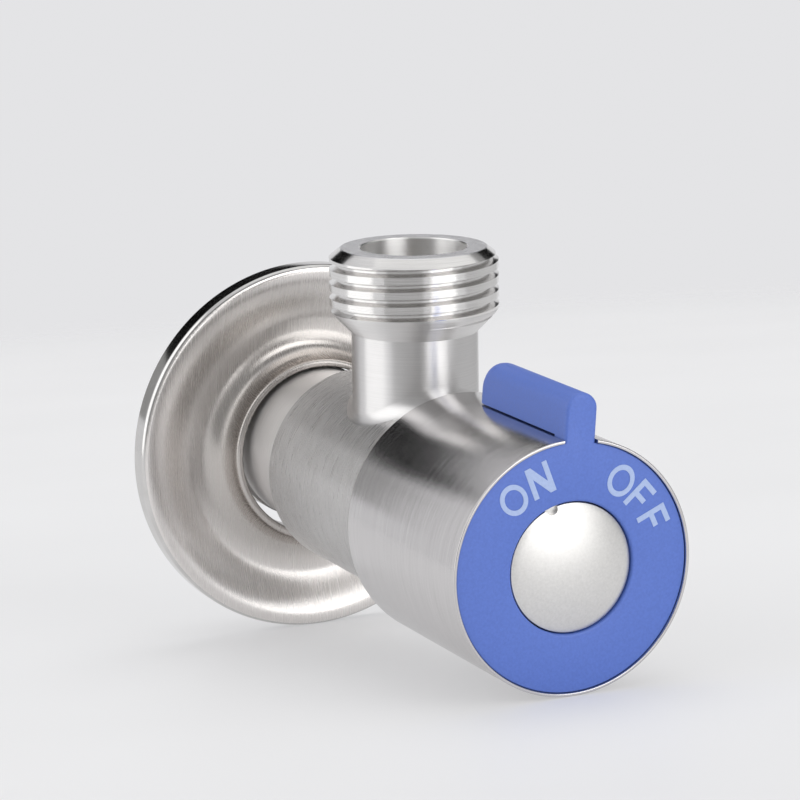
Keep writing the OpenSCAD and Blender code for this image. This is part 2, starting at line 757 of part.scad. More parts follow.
valve_body();
wall_flange();
cartridge_housing();
housing_seal();
spindle();
front_seal();
rear_seal();
thrust_washer();
stop_washer();
snap_ring();
drive_disc();
fixed_disc();
seat_seal();
handle_core();
handle_sleeve();
indicator_ring();
centre_cap();
handle_screw();
screw_washer();
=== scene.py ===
import math
import bpy
from mathutils import Matrix, Vector


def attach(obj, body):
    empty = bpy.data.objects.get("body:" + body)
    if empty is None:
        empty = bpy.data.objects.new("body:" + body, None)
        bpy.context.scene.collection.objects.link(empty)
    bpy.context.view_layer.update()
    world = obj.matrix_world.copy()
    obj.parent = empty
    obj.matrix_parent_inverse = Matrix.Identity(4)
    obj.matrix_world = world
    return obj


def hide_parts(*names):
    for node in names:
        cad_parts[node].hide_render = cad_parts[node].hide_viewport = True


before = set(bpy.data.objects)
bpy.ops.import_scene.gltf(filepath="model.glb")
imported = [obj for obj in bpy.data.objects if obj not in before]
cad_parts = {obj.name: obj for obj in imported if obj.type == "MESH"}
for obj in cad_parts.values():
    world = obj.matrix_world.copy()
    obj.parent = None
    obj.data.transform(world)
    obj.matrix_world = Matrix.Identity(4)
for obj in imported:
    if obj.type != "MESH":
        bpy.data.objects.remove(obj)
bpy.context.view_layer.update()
mm = 0.001
outletMiddle = (0, -35, 0)  # foot of the outlet's centre line, in millimetres
leverLean = math.radians(4.5)
mergeDistance = 0.000002  # in metres


# small tools for modelling

def deselectAll():
    if bpy.context.object and bpy.context.object.mode != "OBJECT":
        bpy.ops.object.mode_set(mode="OBJECT")
    bpy.ops.object.select_all(action="DESELECT")


def pick(*objects):
    deselectAll()
    for one in objects:
        one.select_set(True)
    bpy.context.view_layer.objects.active = objects[0]


def named(name):
    made = bpy.context.object
    made.name = name
    made.data.name = name
    return made


def settle(piece):
    # the piece keeps its place in its mesh, and its object goes back to the origin
    pick(piece)
    bpy.ops.object.transform_apply(location=True, rotation=True, scale=True)
    return piece


def roundBy(piece, degrees):
    pick(piece)
    bpy.ops.object.shade_smooth_by_angle(angle=math.radians(degrees))
    return piece


def arc(middle, radius, start, end, steps):
    return [(middle[0] + radius * math.cos(math.radians(start + (end - start) * i / steps)),
             middle[1] + radius * math.sin(math.radians(start + (end - start) * i / steps)))
            for i in range(steps + 1)]


def drawLine(name, points, loop=True):
    # a plane is merged to one point, and the line is drawn by extruding that point
    deselectAll()
    bpy.ops.mesh.primitive_plane_add(size=0.002, location=(0, 0, 0))
    piece = named(name)
    bpy.ops.object.mode_set(mode="EDIT")
    bpy.ops.mesh.merge(type="CENTER")
    here = Vector(points[0]) * mm
    bpy.ops.transform.translate(value=here)
    for point in points[1:]:
        there = Vector(point) * mm
        bpy.ops.mesh.extrude_region_move(TRANSFORM_OT_translate={"value": there - here})
        here = there
    if loop:
        bpy.ops.object.mode_set(mode="OBJECT")
        for vertex in piece.data.vertices:
            vertex.select = vertex.index in (0, len(points) - 1)
        bpy.ops.object.mode_set(mode="EDIT")
        bpy.ops.mesh.edge_face_add()
    bpy.ops.object.mode_set(mode="OBJECT")
    return piece


def turnedPiece(name, profile, axis="Y", middle=(0, 0, 0), steps=128, loop=True):
    # profile is (radius, place along the axis), spun once round that axis
    if axis == "Y":
        points = [(middle[0] + r, middle[1] + a, middle[2]) for r, a in profile]
    else:
        points = [(middle[0] + r, middle[1], middle[2] + a) for r, a in profile]
    piece = drawLine(name, points, loop)
    bpy.ops.object.mode_set(mode="EDIT")
    bpy.ops.mesh.select_all(action="SELECT")
    bpy.ops.mesh.spin(steps=steps, angle=2 * math.pi, center=Vector(middle) * mm,
                      axis=(0, 1, 0) if axis == "Y" else (0, 0, 1))
    bpy.ops.mesh.select_all(action="SELECT")
    bpy.ops.mesh.remove_doubles(threshold=mergeDistance)
    bpy.ops.mesh.normals_make_consistent(inside=False)
    bpy.ops.object.mode_set(mode="OBJECT")
    return piece


def combine(piece, other, operation):
    pick(piece)
    change = piece.modifiers.new("combine", "BOOLEAN")
    change.operation = operation
    change.object = other
    change.solver = "EXACT"
    bpy.ops.object.modifier_apply(modifier=change.name)
    bpy.data.objects.remove(other)
    return piece


def rod(name, radius, start, end, axis="Y", middle=(0, 0, 0), sides=96):
    deselectAll()
    centre = list(middle)
    centre["XYZ".index(axis)] += (start + end) / 2
    turn = (math.pi / 2, 0, 0) if axis == "Y" else (0, 0, 0)
    bpy.ops.mesh.primitive_cylinder_add(vertices=sides, radius=radius * mm, depth=(end - start) * mm,
                                        location=Vector(centre) * mm, rotation=turn)
    return settle(named(name))


def joined(first, *others):
    pick(first, *others)
    bpy.ops.object.join()
    return first


def leanWithLever(piece):
    # turns a finished mesh about the handle's centre line
    piece.data.transform(Matrix.Rotation(leverLean, 4, "Y"))


# the camera comes first, because the rest is looked at from it

cameraPlace = {
    "position": (-0.188956, -0.443209, 0.108760),
    "azimuth": -24.588,
    "elevation": 12.156,
    "roll": -0.917,
    "lens": 166.724,
    "sensor": 36,
}


def placeCamera(values):
    a = math.radians(values["azimuth"])
    e = math.radians(values["elevation"])
    r = math.radians(values["roll"])
    back = Vector((math.sin(a) * math.cos(e), -math.cos(a) * math.cos(e), math.sin(e)))
    ahead = -back
    across = ahead.cross(Vector((0, 0, 1))).normalized()
    down = ahead.cross(across)
    right = across * math.cos(r) - down * math.sin(r)
    below = across * math.sin(r) + down * math.cos(r)
    data = bpy.data.cameras.new("camera")
    data.sensor_width = values["sensor"]
    data.lens = values["lens"]
    data.clip_start = 0.01
    data.clip_end = 50
    camera = bpy.data.objects.new("camera", data)
    bpy.context.scene.collection.objects.link(camera)
    turn = Matrix((right, -below, back)).transposed().to_4x4()
    camera.matrix_world = Matrix.Translation(Vector(values["position"])) @ turn
    bpy.context.scene.camera = camera


placeCamera(cameraPlace)
print("camera placed")


# valve casting: barrel, shank, neck and both threads

casting = {
    "barrelRadius": 12.8,
    "barrelFront": -50.0,
    "barrelBack": -17.4,
    "barrelEdge": 0.4,
    "mouthRadius": 11.12,
    "mouthFloor": -48.8,
    "socketRadius": 9.92,
    "socketFloor": -43.7,
    "chamberRadius": 9.3,
    "chamberFloor": -26,
    "shankRadius": 10.3,
    "shankEdge": 0.2,
    "shankSlope": (-0.1, 0.3),  # where the step down to the thread's root lies about the thread's start
    "threadRadius": 10.4775,
    "threadDepth": 0.9,
    "threadPitch": 1.814,
    "threadCrest": 0.9,
    "rootFlat": 0.12,  # half the flat between two crests
    "crestOver": 0.25,  # the crests are left tall and are cut down by the blank
    "threadSteps": 96,
    "inletStart": -1.814,
    "inletEnd": 13.798,
    "inletChamfer": 1.0,
    "inletTip": 0.5,  # how far the chamfer goes below the root
    "inletBore": 6.5,
    "inletEdge": 0.3,
    "inletScrew": (-4, 11),  # where the helix starts, and its turns
    "blankStart": -1.2,  # the inlet's thread is turned by itself and starts inside the casting
    "blankCone": 0.7,
    "rootLift": 0.002,  # keeps the blank off the casting's own surface
    "castingEnd": -0.9,
    "neckRadius": 7.85,
    "neckStart": 9.7,
    "neckFoot": 2.3,
    "neckFootSink": 0.012,
    "outletTop": 31.2,
    "outletReach": 10.6,  # just wider than the thread and the neck's foot
    "outletFlat": 9.04,
    "outletBore": 6.6,
    "outletPort": 5.5,
    "portEnd": 14,
    "boreFloor": 13.0,
    "boreCone": 1.1,
    "boreEdge": 0.15,
    "chamferStart": 30.1,
    "faceEdge": [(0.08, -0.06), (-0.05, 0)],  # corners round the end face's edge, as (outwards, upwards)
    "coneStart": 20.7,
    "coneEnd": 23.7,
    "coneShoulder": [(-0.45, -0.75), (-0.1, -0.25)],  # corners before the thread's full width
    "outletScrew": (9.32, 14),
}


def threadedRod(name, values, helix, axis, middle=(0, 0, 0)):
    # one pitch of the thread's flank line, screwed upwards, with both ends closed
    start, turns = helix
    root = values["threadRadius"] - values["threadDepth"]
    crest = root + values["threadDepth"] + values["crestOver"]
    pitch = values["threadPitch"]
    slope = (pitch - values["threadCrest"]) / 2 - values["rootFlat"]
    rise = values["crestOver"] * slope / values["threadDepth"]
    half = values["threadCrest"] / 2
    line = [(root, -pitch / 2), (root, -half - slope), (crest, -half + rise),
            (crest, half - rise), (root, half + slope), (root, pitch / 2)]
    piece = drawLine(name, [(r, 0, start + a) for r, a in line], False)
    pick(piece)
    screw = piece.modifiers.new("screw", "SCREW")
    screw.axis = "Z"
    screw.steps = values["threadSteps"]
    screw.render_steps = values["threadSteps"]
    screw.screw_offset = pitch * mm
    screw.iterations = turns
    screw.use_merge_vertices = True
    screw.merge_threshold = mergeDistance
    bpy.ops.object.modifier_apply(modifier=screw.name)
    bpy.ops.object.mode_set(mode="EDIT")
    bpy.ops.mesh.select_all(action="SELECT")
    bpy.ops.mesh.remove_doubles(threshold=mergeDistance)
    bpy.ops.mesh.select_all(action="DESELECT")
    bpy.ops.mesh.select_mode(type="EDGE")
    bpy.ops.mesh.select_non_manifold(extend=False)
    bpy.ops.mesh.fill_holes(sides=0)
    bpy.ops.mesh.select_mode(type="VERT")
    bpy.ops.mesh.select_all(action="SELECT")
    bpy.ops.mesh.normals_make_consistent(inside=False)
    bpy.ops.object.mode_set(mode="OBJECT")
    if axis == "Y":
        piece.data.transform(Matrix.Rotation(-math.pi / 2, 4, "X"))
    piece.data.transform(Matrix.Translation(Vector(middle) * mm))
    return piece


def neckFootMesh(name, values):
    # the rounded foot is what a ball leaves that rolls along barrel and neck
    sides, steps = 144, 14
    ball = values["neckFoot"]
    fromNeck = values["neckRadius"] + ball
    fromBarrel = values["barrelRadius"] + ball
    points = []
    for i in range(sides):
        turn = 2 * math.pi * i / sides
        x, y = fromNeck * math.cos(turn), fromNeck * math.sin(turn)
        centre = Vector((x, y, math.sqrt(fromBarrel ** 2 - x ** 2)))
        toNeck = Vector((-math.cos(turn), -math.sin(turn), 0))
        toBarrel = Vector((-x, 0, -centre.z)) / fromBarrel
        for j in range(steps + 1):
            way = toNeck.slerp(toBarrel, j / steps)
            point = centre + way * (ball + values["neckFootSink"])
            points.append((point + Vector((0, outletMiddle[1], 0))) * mm)
    row = steps + 1
    faces = [(i * row + j, i * row + j + 1, (i + 1) % sides * row + j + 1, (i + 1) % sides * row + j)
             for i in range(sides) for j in range(steps)]
    data = bpy.data.meshes.new(name)
    data.from_pydata(points, [], faces)
    piece = bpy.data.objects.new(name, data)
    bpy.context.scene.collection.objects.link(piece)
    return piece


def makeCasting(values):
    outer, thread = values["barrelRadius"], values["threadRadius"]
    root = thread - values["threadDepth"]

    front, back, edge = values["barrelFront"], values["barrelBack"], values["barrelEdge"]
    shank, corner = values["shankRadius"], values["shankEdge"]
    castingEnd, inletBore = values["castingEnd"], values["inletBore"]
    slopeStart, slopeEnd = (values["inletStart"] + along for along in values["shankSlope"])
    barrel = turnedPiece("valveCasting", [
        (values["mouthRadius"], front), (outer, front),
        (outer, back - edge), *arc((outer - edge, back - edge), edge, 12, 78, 5), (outer - edge, back),
        (shank + corner, back), *arc((shank + corner, back + corner), corner, 258, 192, 4),
        (shank, back + corner), (shank, slopeStart), (root, slopeEnd), (root, castingEnd),
        (inletBore, castingEnd), (inletBore, values["chamberFloor"]),
        (values["chamberRadius"], values["chamberFloor"]),
        (values["chamberRadius"], values["socketFloor"]), (values["socketRadius"], values["socketFloor"]),
        (values["socketRadius"], values["mouthFloor"]), (values["mouthRadius"], values["mouthFloor"])])
    port = rod("port", values["outletPort"], 0, values["portEnd"], "Z", outletMiddle)
    combine(barrel, port, "DIFFERENCE")

    start, end, edge = values["blankStart"], values["inletEnd"], values["inletEdge"]
    inlet = turnedPiece("inletThread", [
        (inletBore, start), (root + values["rootLift"], start), (thread, start + values["blankCone"]),
        (thread, end - values["inletChamfer"]), (root - values["inletTip"], end),
        (inletBore + edge, end), (inletBore, end - edge)])
    combine(inlet, threadedRod("inletScrew", values, values["inletScrew"], "Y"), "INTERSECT")

    neck, neckStart, cone = values["neckRadius"], values["neckStart"], values["coneEnd"]
    top, flat, floor = values["outletTop"], values["outletFlat"], values["boreFloor"]
    bore, narrow, edge = values["outletBore"], values["outletPort"], values["boreEdge"]
    outlet = turnedPiece("outletThread", [
        (narrow, neckStart), (neck, neckStart), (neck, values["coneStart"]),
        *((thread + out, cone + up) for out, up in values["coneShoulder"]), (thread, cone),
        (thread, values["chamferStart"]), *((flat + out, top + up) for out, up in values["faceEdge"]),
        (bore + edge, top), (bore, top - edge), (bore, floor), (narrow, floor - values["boreCone"])],
        "Z", outletMiddle)
    screw = threadedRod("outletScrew", values, values["outletScrew"], "Z", outletMiddle)
    combine(outlet, screw, "INTERSECT")

    joined(barrel, inlet, outlet, neckFootMesh("neckFoot", values))
    return roundBy(barrel, 24)


valveCasting = makeCasting(casting)
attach(valveCasting, "valve")
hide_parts("valve_body")
print("valve casting made,", len(valveCasting.data.polygons), "faces")


# wall flange: dished sheet drawn out into a collar

flange = {
    "radius": 24.4,
    "rimHeight": 3.1,
    "rimRound": 0.8,
    "slopeWidth": 6.95,
    "floorHeight": 0.8,
    "footRound": 3.4,
    "collarHeight": 5.4,
    "lipWidth": 1.0,
    "bore": 11.15,
    "hemHeight": 0.1,
    "sheet": 0.6,
    "drop": 0.55,  # how low it hangs on the shank
    "slopeSteps": 24,
    "polishedBand": 0.35,
}


def makeFlange(values):
    r, t, bore = values["radius"], values["sheet"], values["bore"]
    collar = bore + values["lipWidth"]
    rim = (r - values["rimRound"], values["rimHeight"] - values["rimRound"])
    foot = (collar + values["footRound"], values["floorHeight"] + values["footRound"])
    lip = values["lipWidth"] / 2
    steps = values["slopeSteps"]
    slope = [(rim[0] - values["slopeWidth"] * i / steps,
              values["floorHeight"] + (values["rimHeight"] - values["floorHeight"])
              * (1 + math.cos(math.pi * i / steps)) / 2) for i in range(steps + 1)]
    behind = []
    for i, (across, high) in enumerate(slope):
        before, after = slope[max(i - 1, 0)], slope[min(i + 1, steps)]
        way = Vector((after[0] - before[0], after[1] - before[1])).normalized()
        behind.append((across - way.y * t, high + way.x * t))
    reach = (values["footRound"] + values["lipWidth"] - t) / (values["footRound"] + t)
    hem = 180 + math.degrees(math.acos(reach))  # where the inner tube leaves the foot's back
    section = [(r, 0), *arc(rim, values["rimRound"], 0, 84, 9), *slope[1:-1],
               *arc(foot, values["footRound"], 270, 180, 14),
               *arc((collar - lip, values["collarHeight"] - lip), lip, 0, 180, 18),
               (bore, values["hemHeight"]), (bore + t, values["hemHeight"]),
               *arc(foot, values["footRound"] + t, hem, 270, 12),
               *behind[::-1][1:-1], *arc(rim, values["rimRound"] - t, 80, 0, 4), (r - t, 0)]
    piece = turnedPiece("wallFlange", [(a, -h) for a, h in section], steps=192)
    piece.data.transform(Matrix.Translation((0, 0, -values["drop"] * mm)))
    return roundBy(piece, 40)


wallFlange = makeFlange(flange)
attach(wallFlange, "flange")
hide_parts("wall_flange")
print("wall flange made")


# handle sleeve: thin drawn tube with a notch for the lever

sleeve = {
    "radius": 15.2,
    "wall": 0.4,
    "front": -77.3,
    "back": -47.0,
    "shoulder": 1.0,
    "opening": 13.1,
    "edge": 0.12,
    "notchWidth": 4.24,
    "notchDepth": 3.2,
}


def makeSleeve(values):
    r, w, e = values["radius"], values["wall"], values["edge"]
    turn = (r - values["shoulder"], values["back"] - values["shoulder"])
    piece = turnedPiece("handleSleeve", [
        (r - w, values["front"] + e), *arc((r - w + e, values["front"] + e), e, 210, 270, 3),
        *arc((r - e, values["front"] + e), e, 270, 360, 4),
        *arc(turn, values["shoulder"], 0, 90, 14), (values["opening"], values["back"]),
        (values["opening"], values["back"] - w), *arc(turn, values["shoulder"] - w, 90, 0, 10)], steps=192)
    deselectAll()
    ahead, tall = 1, 4  # the notch is cut from in front of the sleeve, right through its sheet
    middle = values["front"] + (values["notchDepth"] - ahead) / 2
    bpy.ops.mesh.primitive_cube_add(size=1, location=(0, middle * mm, (r - w) * mm))
    notch = named("notch")
    notch.scale = (values["notchWidth"] * mm, (values["notchDepth"] + ahead) * mm, tall * mm)
    settle(notch)
    combine(piece, notch, "DIFFERENCE")
    leanWithLever(piece)
    return roundBy(piece, 28)


handleSleeve = makeSleeve(sleeve)
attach(handleSleeve, "handle")
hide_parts("handle_sleeve")
print("handle sleeve made")


# lever ring: blue moulding with its lever and the two words

leverRing = {
    "radius": 14.75,
    "hole": 7.85,
    "front": -77.0,
    "thickness": 2.6,
    "holeEdge": 0.3,
    "leverWidth": 4.0,
    "leverFoot": 13.4,
    "leverTop": 20.45,
    "leverLength": 23.1,
    "leverBack": 3.6,
    "leverEdge": 1.9,
    "leverFront": 0.45,
    "clear": 15.4,
    "edge": 0.16,
    "pegCircle": 11.3,
    "pegRadius": 1.2,
    "pegLength": 2.2,
}


def bevelWhere(piece, test, width, segments):
    # rounds the edges whose two ends pass the test
    pick(piece)
    bpy.ops.object.mode_set(mode="EDIT")
    bpy.ops.mesh.select_mode(type="EDGE")
    bpy.ops.mesh.select_all(action="DESELECT")
    bpy.ops.object.mode_set(mode="OBJECT")
    points = piece.data.vertices
    for edge in piece.data.edges:
        a, b = (points[i].co / mm for i in edge.vertices)
        edge.select = test(a, b)
    bpy.ops.object.mode_set(mode="EDIT")
    bpy.ops.mesh.bevel(offset=width * mm, segments=segments, affect="EDGES", clamp_overlap=True)
    bpy.ops.mesh.select_mode(type="VERT")
    bpy.ops.object.mode_set(mode="OBJECT")


def makeLever(values):
    f, length, half = values["front"], values["leverLength"], values["leverWidth"] / 2
    low, top = values["leverFoot"], values["leverTop"]
    deselectAll()
    bpy.ops.mesh.primitive_cube_add(size=1, location=(0, (f + length / 2) * mm, (low + top) / 2 * mm))
    lever = named("lever")
    lever.scale = (half * 2 * mm, length * mm, (top - low) * mm)
    settle(lever)
    # the back top corner first, then both long edges with the back ones, then the front
    near = 0.1  # an edge's end lies on a face when it is nearer to it than this
    bevelWhere(lever, lambda a, b: min(a.y, b.y) > f + length - near and min(a.z, b.z) > top - near,
               values["leverBack"], 12)
    bevelWhere(lever, lambda a, b: a.x * b.x > 0 and min(abs(a.x), abs(b.x)) > half - near
               and max(a.y, b.y) > f + near and max(a.z, b.z) > low + near, values["leverEdge"], 9)
    bevelWhere(lever, lambda a, b: max(a.y, b.y) < f + near and max(a.z, b.z) > low + near,
               values["leverFront"], 4)
    return lever


def makeLeverRing(values):
    f, back = values["front"], values["front"] + values["thickness"]
    hole, edge, inner = values["hole"], values["edge"], values["holeEdge"]
    r = values["radius"]
    ring = turnedPiece("leverRing", [
        (hole, f + inner), *arc((hole + inner, f + inner), inner, 195, 270, 5),
        *arc((r - edge, f + edge), edge, 270, 360, 4), (r, back), (hole, back)], steps=160)
    lever = makeLever(values)
    under = rod("underLever", values["clear"], back, f + values["leverLength"] + 2, sides=160)
    combine(lever, under, "DIFFERENCE")
    combine(ring, lever, "UNION")
    for i in range(3):
        around = 2 * math.pi / 3 * i + math.pi
        place = (values["pegCircle"] * math.sin(around), 0, values["pegCircle"] * math.cos(around))
        peg = rod("peg", values["pegRadius"], back - 0.1, back + values["pegLength"], "Y", place, 32)
        joined(ring, peg)
    leanWithLever(ring)
    return roundBy(ring, 30)


ringPiece = makeLeverRing(leverRing)
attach(ringPiece, "handle")
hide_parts("indicator_ring")

lettering = {
    "letters": [("O", -39.6), ("N", -20.2), ("O", 33.5), ("F", 49.8), ("F", 66.4)],
    "widths": {"O": 3.4, "N": 2.95, "F": 2.3},
    "circle": 11.55,
    "height": 3.85,
    "stroke": 0.64,
    "thickness": 0.04,
    "slant": 1.22,  # width of the N's slanting stroke, in strokes
    "corner": 1.45,  # height of the N's corners, where the strokes meet
    "shortArm": 0.25,  # how much shorter the F's middle arm is
    "armDrop": 0.05,
}


def letterLine(letter, values):
    # outline of a straight letter about its own middle, as (across, up)
    w, h, t = values["widths"][letter] / 2, values["height"] / 2, values["stroke"]
    if letter == "N":
        slant, corner = t * values["slant"], values["corner"]
        return [(-w, -h), (-w + t, -h), (-w + t, h - corner), (w - slant, -h), (w, -h), (w, h), (w - t, h),
                (w - t, -h + corner), (-w + slant, h), (-w, h)]
    arm, drop = w - values["shortArm"], values["armDrop"]
    return [(-w, -h), (-w + t, -h), (-w + t, -t / 2 - drop), (arm, -t / 2 - drop), (arm, t / 2 - drop),
            (-w + t, t / 2 - drop), (-w + t, h - t), (w, h - t), (w, h), (-w, h)]


def makeLetters(values):
    made = []
    for letter, degrees in values["letters"]:
        if letter == "O":
            t, h, thick = values["stroke"], values["height"] / 2, values["thickness"]
            section = [(h - t, -thick), (h, -thick), (h, thick), (h - t, thick)]
            piece = turnedPiece("letter", section, steps=48)
            piece.data.transform(Matrix.Diagonal((values["widths"]["O"] / values["height"], 1, 1, 1)))
        else:
            piece = drawLine("letter", [(x, 0, z) for x, z in letterLine(letter, values)])
            bpy.ops.object.mode_set(mode="EDIT")
            bpy.ops.mesh.select_all(action="SELECT")
            bpy.ops.mesh.edge_face_add()
            outwards = (0, -values["thickness"] * mm, 0)
            bpy.ops.mesh.extrude_region_move(TRANSFORM_OT_translate={"value": outwards})
            bpy.ops.mesh.select_all(action="SELECT")
            bpy.ops.mesh.normals_make_consistent(inside=False)
            bpy.ops.object.mode_set(mode="OBJECT")
        place = Matrix.Translation((0, leverRing["front"] * mm, values["circle"] * mm))
        piece.data.transform(Matrix.Rotation(math.radians(degrees), 4, "Y") @ place)
        made.append(piece)
    return joined(*made)


letterPiece = makeLetters(lettering)
letterPiece.name = "ringLetters"
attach(letterPiece, "handle")
print("lever ring made")


# centre cap: pressed dome with a notch

cap = {
    "radius": 7.7,
    "front": -77.0,
    "inset": 0.35,
    "dome": 1.2,
    "domeEnd": 1.2,  # in degrees, where the dome turns into the rounded edge
    "corners": [(-0.06, 0.02), (0, 0.2)],  # of that edge, as (outwards, backwards)
    "innerDome": 0.93,  # reach of the inner dome, as a share of the outer one's
    "sheet": 0.5,
    "back": -74.4,
    "notchRadius": 0.8,
    "notchDepth": 0.35,
    "notchTurn": -23.0,
}


def makeCap(values):
    r, edge = values["radius"], values["front"] + values["inset"]
    ball = (r * r + values["dome"] ** 2) / (2 * values["dome"])
    angle = math.degrees(math.asin(r / ball))
    middle = (0, edge - values["dome"] + ball)
    outside = arc(middle, ball, 270, 270 + angle - values["domeEnd"], 22)
    inside = arc(middle, ball - values["sheet"], 270 + angle * values["innerDome"], 270, 16)
    corners = [(r + out, edge + back) for out, back in values["corners"]]
    skirt = [(r, values["back"]), (r - values["sheet"], values["back"])]
    piece = turnedPiece("centreCap", [*outside, *corners, *skirt, *inside], loop=False)
    around = math.radians(values["notchTurn"])
    place = (r * math.sin(around), 0, r * math.cos(around))
    notch, bottom = values["notchRadius"], edge + values["notchDepth"]
    floor = rod("notchFloor", r - values["sheet"] / 2, edge, bottom + values["sheet"], sides=128)
    roundNotch = rod("notchRound", notch + values["sheet"], edge - 1, values["back"], "Y", place, 40)
    combine(piece, combine(floor, roundNotch, "INTERSECT"), "UNION")
    combine(piece, rod("capNotch", notch, edge - 1, bottom, "Y", place, 40), "DIFFERENCE")
    leanWithLever(piece)
    return roundBy(piece, 30)


centreCap = makeCap(cap)
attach(centreCap, "handle")
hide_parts("centre_cap")
print("centre cap made")


# materials

noiseLow, noiseHigh = 0.3, 0.7  # nearly all values of a noise lie between these


def startMaterial(name):
    made = bpy.data.materials.new(name)
    made.use_nodes = True
    tree = made.node_tree
    return made, tree, tree.nodes["Principled BSDF"]


def addNode(tree, kind, **values):
    node = tree.nodes.new(kind)
    for key, value in values.items():
        setattr(node, key, value)
    return node


def stretched(tree, scale):
    coordinates = addNode(tree, "ShaderNodeTexCoord")
    mapping = addNode(tree, "ShaderNodeMapping")
    mapping.inputs["Scale"].default_value = scale
    tree.links.new(coordinates.outputs["Object"], mapping.inputs["Vector"])
    return mapping.outputs["Vector"]


def brushGroup():
    # fine strokes from one stretched coordinate, as a mask and as a bump
    group = bpy.data.node_groups.new("brushStrokes", "ShaderNodeTree")
    group.interface.new_socket("Vector", in_out="INPUT", socket_type="NodeSocketVector")
    depth = group.interface.new_socket("Depth", in_out="INPUT", socket_type="NodeSocketFloat")
    depth.default_value = 0.2
    group.interface.new_socket("Mask", in_out="OUTPUT", socket_type="NodeSocketFloat")
    group.interface.new_socket("Normal", in_out="OUTPUT", socket_type="NodeSocketVector")
    start = group.nodes.new("NodeGroupInput")
    end = group.nodes.new("NodeGroupOutput")
    fine = addNode(group, "ShaderNodeTexNoise")
    fine.inputs["Scale"].default_value = 1.0
    fine.inputs["Detail"].default_value = 3.0
    fine.inputs["Roughness"].default_value = 0.65
    bump = addNode(group, "ShaderNodeBump")
    bump.inputs["Distance"].default_value = 0.0001
    group.links.new(start.outputs["Vector"], fine.inputs["Vector"])
    group.links.new(fine.outputs["Fac"], bump.inputs["Height"])
    group.links.new(start.outputs["Depth"], bump.inputs["Strength"])
    group.links.new(fine.outputs["Fac"], end.inputs["Mask"])
    group.links.new(bump.outputs["Normal"], end.inputs["Normal"])
    return group


strokes = brushGroup()


def ramp(tree, value, dark, light, low=noiseLow, high=noiseHigh):
    node = addNode(tree, "ShaderNodeValToRGB")
    node.color_ramp.elements[0].position = low
    node.color_ramp.elements[0].color = (*dark, 1)
    node.color_ramp.elements[1].position = high
    node.color_ramp.elements[1].color = (*light, 1)
    tree.links.new(value, node.inputs["Fac"])
    return node.outputs["Color"]


def spread(tree, value, low, high):
    node = addNode(tree, "ShaderNodeMapRange")
    node.inputs["From Min"].default_value = noiseLow
    node.inputs["From Max"].default_value = noiseHigh
    node.inputs["To Min"].default_value = low
    node.inputs["To Max"].default_value = high
    tree.links.new(value, node.inputs["Value"])
    return node.outputs["Result"]


def acrossStrokes(tree, direction):
    # highlights spread along this direction, square to the brush strokes
    parts = addNode(tree, "ShaderNodeCombineXYZ")
    for socket, value in zip(("X", "Y", "Z"), direction):
        parts.inputs[socket].default_value = value
    turned = addNode(tree, "ShaderNodeVectorTransform", vector_type="VECTOR",
                     convert_from="OBJECT", convert_to="WORLD")
    tree.links.new(parts.outputs["Vector"], turned.inputs["Vector"])
    return turned.outputs["Vector"]


def paintShadeTowardsMiddle(tree, mask, start, end):
    # painted shade: the flange's middle is painted darker than its face, for the shade round its collar,
    # with a soft change between them
    brushShare, paintedShadeShare = 0.2, 0.5
    middle = addNode(tree, "ShaderNodeVectorMath", operation="LENGTH")
    tree.links.new(stretched(tree, (1, 0, 1)), middle.inputs[0])
    outward = addNode(tree, "ShaderNodeMapRange", interpolation_type="SMOOTHSTEP")
    outward.inputs["From Min"].default_value = start * mm
    outward.inputs["From Max"].default_value = end * mm
    outward.inputs["To Max"].default_value = paintedShadeShare
    tree.links.new(middle.outputs["Value"], outward.inputs["Value"])
    both = addNode(tree, "ShaderNodeMath", operation="MULTIPLY_ADD")
    both.inputs[1].default_value = brushShare
    tree.links.new(mask, both.inputs[0])
    tree.links.new(outward.outputs["Result"], both.inputs[2])
    return both.outputs["Value"]


def brushedSteel(name, scale, depth, dark, light, roughness, across=None, stretch=0.0, paintedShadeRadii=None):
    made, tree, shader = startMaterial(name)
    shader.inputs["Metallic"].default_value = 1.0
    brush = addNode(tree, "ShaderNodeGroup", node_tree=strokes)
    brush.inputs["Depth"].default_value = depth
    tree.links.new(stretched(tree, scale), brush.inputs["Vector"])
    # on the flange, painted shade darkens the middle
    if paintedShadeRadii:
        paler = paintShadeTowardsMiddle(tree, brush.outputs["Mask"], *paintedShadeRadii)
        shade = ramp(tree, paler, dark, light, 0.0, 0.66)
    else:
        shade = ramp(tree, brush.outputs["Mask"], dark, light)
    tree.links.new(shade, shader.inputs["Base Color"])
    tree.links.new(spread(tree, brush.outputs["Mask"], *roughness), shader.inputs["Roughness"])
    tree.links.new(brush.outputs["Normal"], shader.inputs["Normal"])
    if across:
        shader.inputs["Anisotropic"].default_value = stretch
        tree.links.new(acrossStrokes(tree, across), shader.inputs["Tangent"])
    return made


def dress(piece, *materials):
    piece.data.materials.clear()
    for one in materials:
        piece.data.materials.append(one)
